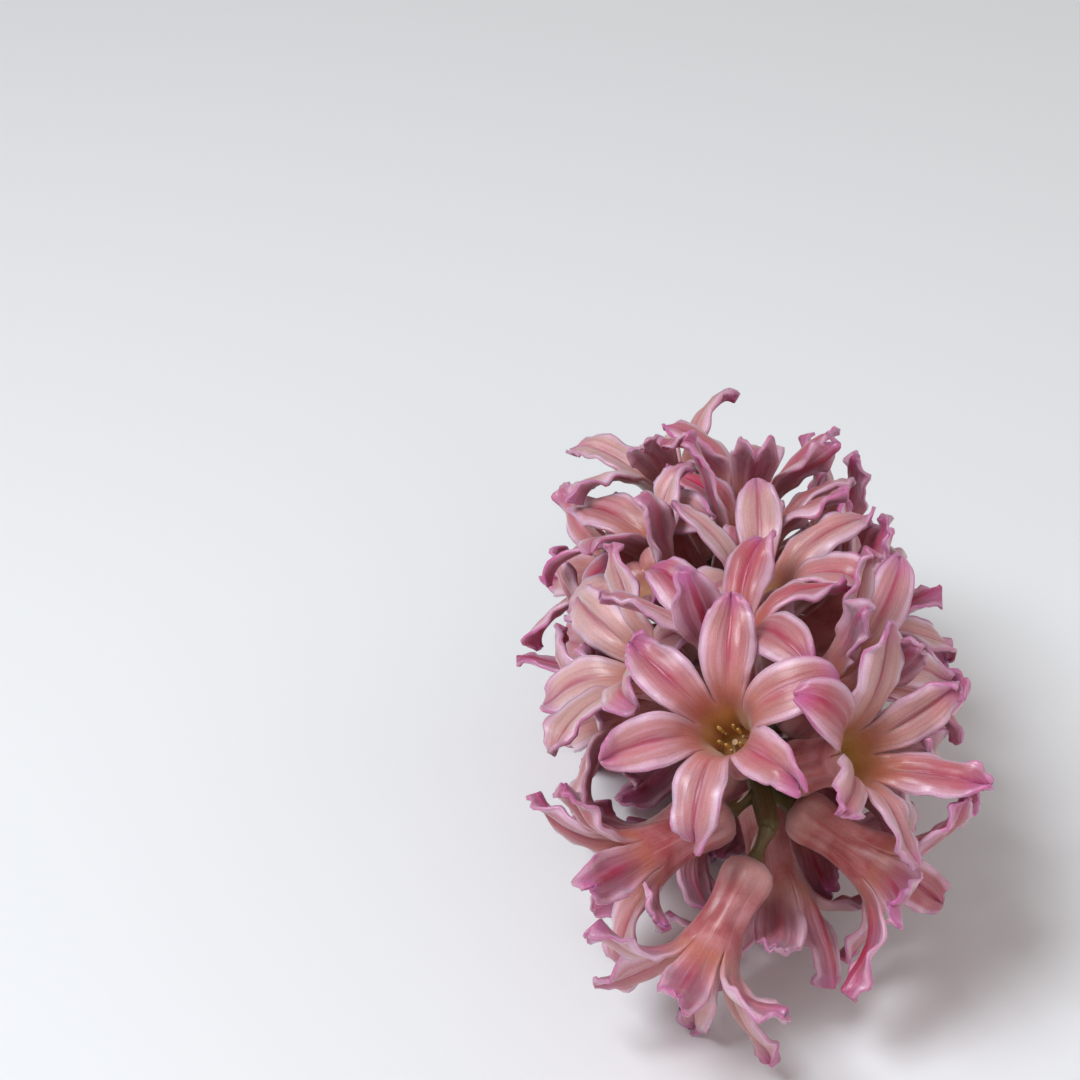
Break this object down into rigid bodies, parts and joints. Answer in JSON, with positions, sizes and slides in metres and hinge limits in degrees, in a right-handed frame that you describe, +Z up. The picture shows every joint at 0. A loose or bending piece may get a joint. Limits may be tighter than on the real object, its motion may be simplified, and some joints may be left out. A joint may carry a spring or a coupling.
{
  "type": "hyacinth flower",
  "caption": "Cut hyacinth flower spike lying on its side: a bowed green stem with a dense head of pink bell-shaped florets whose tepals curl outwards.",
  "frame": {"origin": "centre of the bounding box in X and Y, on the surface that the spike lies on", "axes": "+Z up from the surface, +Y along the stem towards its cut end, the tip of the spike towards -Y, +X to the right seen from the tip"},
  "size_m": [0.0784, 0.1868, 0.0787],
  "materials": {
    "petal": "soft waxy petal skin, pink with deeper midribs and pale lilac edges",
    "stem": "smooth olive green plant stem",
    "bud": "smooth yellow-green closed bud"
  },
  "bodies": {
    "root": {"stem": "stem", "bud": "bud", "floret_01": "petal", "floret_02": "petal", "floret_03": "petal", "floret_04": "petal", "floret_05": "petal", "floret_06": "petal", "floret_07": "petal", "floret_08": "petal", "floret_09": "petal", "floret_10": "petal", "floret_11": "petal", "floret_12": "petal", "floret_13": "petal", "floret_14": "petal", "floret_15": "petal", "floret_16": "petal", "floret_17": "petal", "floret_18": "petal", "floret_19": "petal", "floret_20": "petal", "floret_21": "petal", "floret_22": "petal", "floret_23": "petal", "floret_24": "petal", "floret_25": "petal", "floret_26": "petal", "floret_27": "petal", "floret_28": "petal", "floret_29": "petal", "floret_30": "petal", "floret_31": "petal", "floret_32": "petal"}
  },
  "joints": []
}
